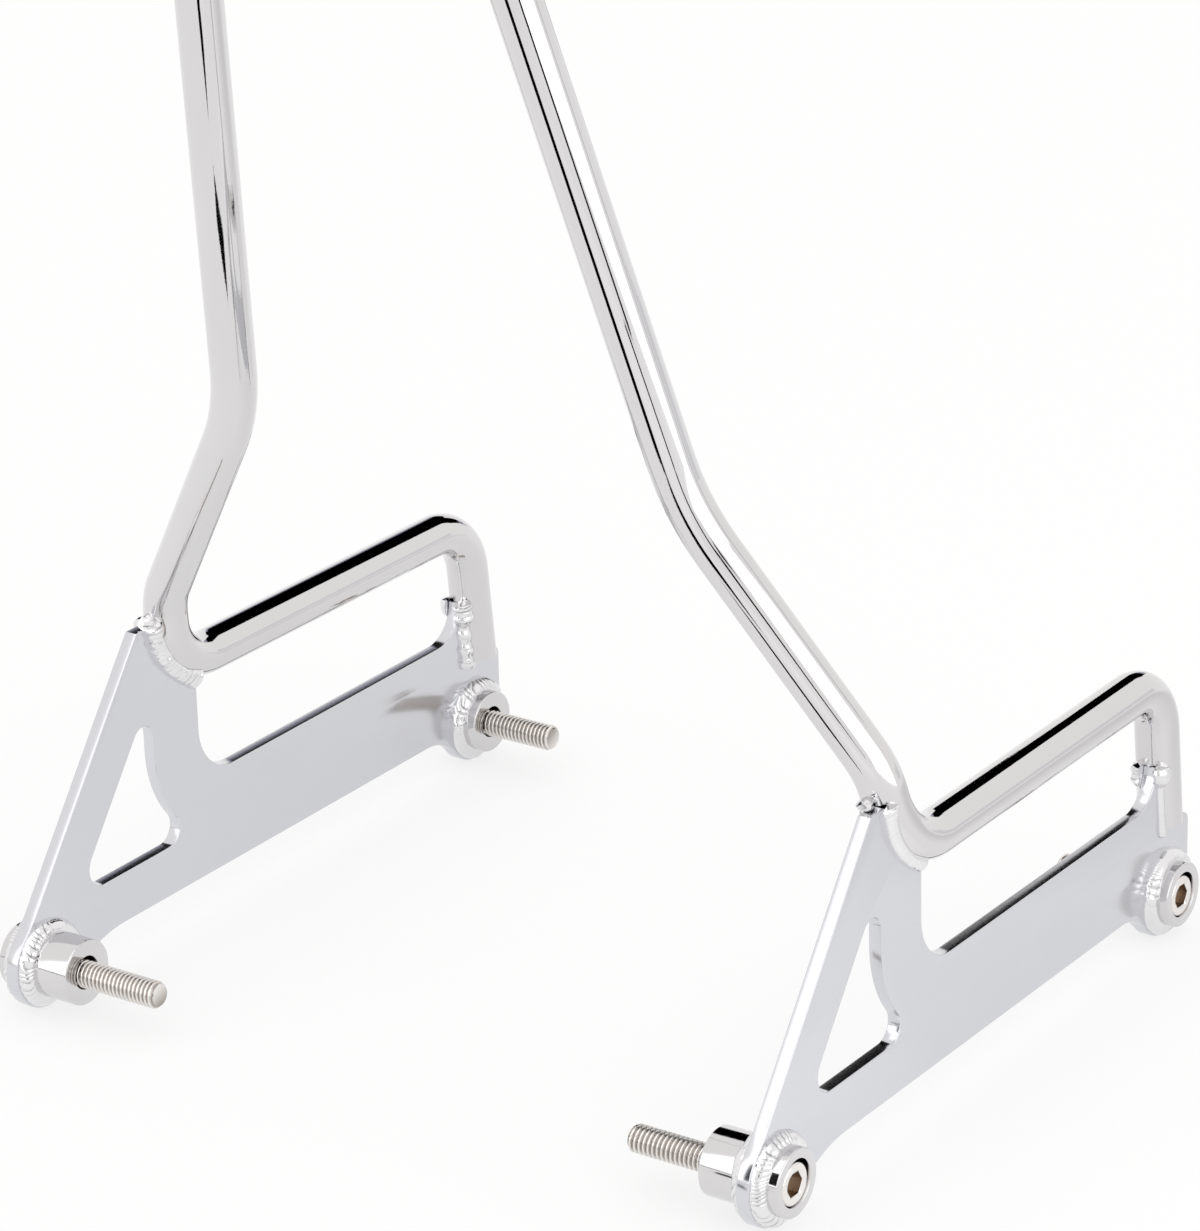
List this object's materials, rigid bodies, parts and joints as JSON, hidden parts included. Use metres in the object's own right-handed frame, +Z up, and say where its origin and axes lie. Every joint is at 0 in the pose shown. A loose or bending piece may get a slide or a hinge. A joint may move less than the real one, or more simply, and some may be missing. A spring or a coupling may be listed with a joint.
{
  "type": "sissy bar",
  "caption": "Chromed motorcycle sissy bar: a bent round hoop bar welded to cut-out side plates, with welded bungs and socket head bolts.",
  "frame": {"origin": "on the axis of the rear fender bolts, midway between the side plates", "axes": "+X to the bike's right, +Y forward along the rails, +Z up along the uprights"},
  "size_m": [0.2574, 0.2471, 0.4221],
  "materials": {
    "bar_chrome": "mirror polished chrome",
    "plate_chrome": "mirror polished chrome",
    "bung_chrome": "chrome over turned steel",
    "bolt_stainless": "satin stainless steel",
    "weld_chrome": "chrome over a rippled weld bead"
  },
  "bodies": {
    "root": {"hoop_bar": "bar_chrome", "side_plate_left": "plate_chrome", "side_plate_right": "plate_chrome", "bung_rear_left": "bung_chrome", "bung_rear_right": "bung_chrome", "bung_front_left": "bung_chrome", "bung_front_right": "bung_chrome", "bolt_rear_left": "bolt_stainless", "bolt_rear_right": "bolt_stainless", "bolt_front_left": "bolt_stainless", "bolt_front_right": "bolt_stainless", "weld_rear_left_inner": "weld_chrome", "weld_rear_left_outer": "weld_chrome", "weld_rear_right_inner": "weld_chrome", "weld_rear_right_outer": "weld_chrome", "weld_front_left_inner": "weld_chrome", "weld_front_left_outer": "weld_chrome", "weld_front_right_inner": "weld_chrome", "weld_front_right_outer": "weld_chrome", "weld_corner_left_inner": "weld_chrome", "weld_corner_left_outer": "weld_chrome", "weld_corner_right_inner": "weld_chrome", "weld_corner_right_outer": "weld_chrome", "weld_leg_left_inner": "weld_chrome", "weld_leg_left_outer": "weld_chrome", "weld_leg_right_inner": "weld_chrome", "weld_leg_right_outer": "weld_chrome"}
  },
  "joints": []
}
